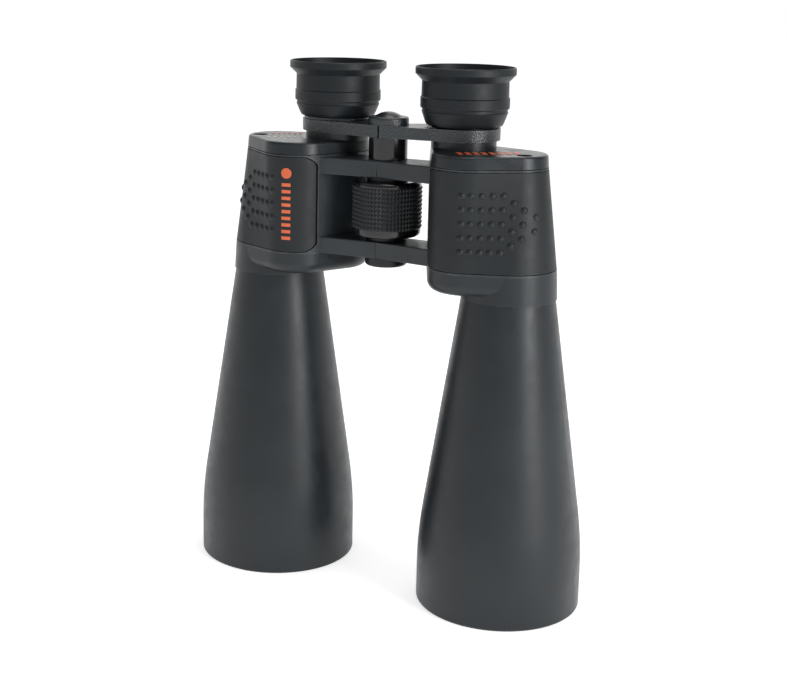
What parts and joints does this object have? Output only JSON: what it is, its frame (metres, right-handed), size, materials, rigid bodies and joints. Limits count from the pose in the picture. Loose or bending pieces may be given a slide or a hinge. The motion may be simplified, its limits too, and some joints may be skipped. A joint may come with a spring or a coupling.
{
  "type": "astronomy binoculars",
  "caption": "Large porro-prism astronomy binoculars with folding centre hinge, bridge focusing by a knurled wheel, dioptre ring, rubber armour and wide rubber eyecups.",
  "frame": {"origin": "midway between the two objective axes, on the plane the objective rims stand on", "axes": "+Z along the optical axes towards the eyepieces, +X towards the user's left half, -Y faces up in use"},
  "size_m": [0.218, 0.084, 0.272],
  "materials": {
    "painted_casting": "satin charcoal paint",
    "armour_rubber": "matte charcoal rubber",
    "black_anodised": "matte black anodised",
    "coated_glass": "multi-coated optical glass",
    "prism_glass": "polished optical glass",
    "spring_steel": "plain spring steel",
    "screw_steel": "plain steel",
    "black_screws": "black oxide steel",
    "moulded_black": "satin moulded plastic",
    "crinkle_paint": "fine crinkle paint",
    "eyecup_rubber": "matte black rubber",
    "gloss_black": "gloss black",
    "wheel_rubber": "knurled black rubber",
    "brass": "machined brass",
    "washer_plastic": "black acetal",
    "axle_steel": "ground steel",
    "ring_metal": "satin black metal"
  },
  "bodies": {
    "left_half": {"left_prism_housing": "painted_casting", "left_rubber_armour": "armour_rubber", "left_objective_barrel": "painted_casting", "left_objective_cell": "black_anodised", "left_objective_ring": "black_anodised", "left_crown_lens": "coated_glass", "left_lens_spacer": "black_anodised", "left_flint_lens": "coated_glass", "left_objective_plate": "painted_casting", "left_eyepiece_plate": "painted_casting", "left_prism_shelf": "black_anodised", "left_upper_prism": "prism_glass", "left_lower_prism": "prism_glass", "left_prism_straps": "spring_steel", "left_shelf_screws": "screw_steel", "left_cover_screw": "black_screws", "hinge_axle": "gloss_black", "thrust_washers": "washer_plastic", "tripod_bush": "brass"},
    "right_half": {"right_prism_housing": "painted_casting", "right_rubber_armour": "armour_rubber", "right_objective_barrel": "painted_casting", "right_objective_cell": "black_anodised", "right_objective_ring": "black_anodised", "right_crown_lens": "coated_glass", "right_lens_spacer": "black_anodised", "right_flint_lens": "coated_glass", "right_objective_plate": "painted_casting", "right_eyepiece_plate": "painted_casting", "right_prism_shelf": "black_anodised", "right_upper_prism": "prism_glass", "right_lower_prism": "prism_glass", "right_prism_straps": "spring_steel", "right_shelf_screws": "screw_steel", "right_cover_screw": "black_screws"},
    "wheel": {"focus_wheel": "gloss_black", "wheel_grip": "wheel_rubber", "focus_nut": "brass"},
    "bridge": {"left_bridge_arm": "crinkle_paint", "left_eyepiece_tube": "black_anodised", "left_field_lens": "coated_glass", "left_field_stop": "black_anodised", "left_eye_cell": "moulded_black", "left_eye_lens": "coated_glass", "left_eyecup": "eyecup_rubber", "focus_rod": "axle_steel", "cross_pin": "axle_steel", "hub_cap": "crinkle_paint", "hub_insert": "gloss_black"},
    "right_arm": {"right_bridge_arm": "crinkle_paint", "right_eyepiece_tube": "black_anodised", "right_field_lens": "coated_glass", "right_field_stop": "black_anodised"},
    "diopter": {"diopter_ring": "ring_metal"},
    "right_eye": {"right_eye_cell": "moulded_black", "right_eye_lens": "coated_glass", "right_eyecup": "eyecup_rubber"},
    "socket_cap": {"tripod_cap": "moulded_black"}
  },
  "joints": [
    {"name": "ipd_hinge", "type": "hinge", "parent": "left_half", "child": "right_half", "pos_m": [0, -0.0043, 0.2], "axis": [0, 0, 1], "range_deg": [-50, 0]},
    {"name": "focus_turn", "type": "hinge", "parent": "left_half", "child": "wheel", "pos_m": [0, -0.0043, 0.2], "axis": [0, 0, 1], "range_deg": [0, 360]},
    {"name": "bridge_slide", "type": "slide", "parent": "left_half", "child": "bridge", "axis": [0, 0, 1], "range_m": [0, 0.007]},
    {"name": "right_arm_turn", "type": "hinge", "parent": "bridge", "child": "right_arm", "pos_m": [0, -0.0043, 0.239], "axis": [0, 0, 1], "range_deg": [-50, 0]},
    {"name": "diopter_turn", "type": "hinge", "parent": "right_arm", "child": "diopter", "pos_m": [-0.0365, 0.0077, 0.2426], "axis": [0, 0, 1], "range_deg": [0, 150]},
    {"name": "diopter_slide", "type": "slide", "parent": "diopter", "child": "right_eye", "axis": [0, 0, 1], "range_m": [0, 0.0025]},
    {"name": "socket_cap_out", "type": "slide", "parent": "left_half", "child": "socket_cap", "axis": [0, 0, -1], "range_m": [0, 0.014]}
  ],
  "couplings": [
    {"joint": "bridge_slide", "follows": "focus_turn", "m_per_rad": 0.0011141},
    {"joint": "right_arm_turn", "follows": "ipd_hinge", "ratio": 1},
    {"joint": "diopter_slide", "follows": "diopter_turn", "m_per_rad": 0.00095493}
  ]
}
